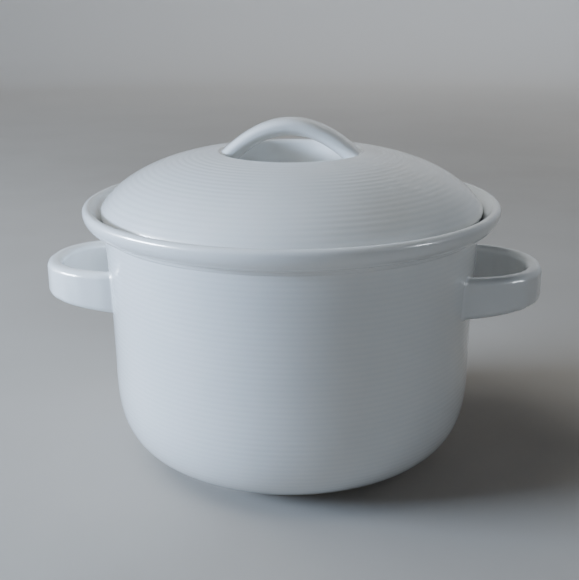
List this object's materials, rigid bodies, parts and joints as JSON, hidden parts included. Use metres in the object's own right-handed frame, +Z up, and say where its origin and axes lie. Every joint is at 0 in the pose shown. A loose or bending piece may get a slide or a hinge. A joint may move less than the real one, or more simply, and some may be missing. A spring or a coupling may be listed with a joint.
{
  "type": "lidded casserole",
  "caption": "Round white glazed stoneware casserole with a flared lip, strap loop handles and a domed lift-off lid with a bridge handle over a recess.",
  "frame": {"origin": "middle of the foot ring's resting face, on the pot's turning axis", "axes": "+Z up along the turning axis, +X through the two side handles"},
  "size_m": [0.255, 0.21, 0.1755],
  "materials": {
    "white_glaze": "satin-gloss soft white glaze over fine turned ribs, with a bare clay ring on the foot"
  },
  "bodies": {
    "pot": {"pot": "white_glaze", "left_handle": "white_glaze", "right_handle": "white_glaze"},
    "lid": {"lid": "white_glaze", "lid_handle": "white_glaze"}
  },
  "joints": [
    {"name": "lid_lift", "type": "slide", "parent": "pot", "child": "lid", "axis": [0, 0, 1], "range_m": [0, 0.1]}
  ]
}
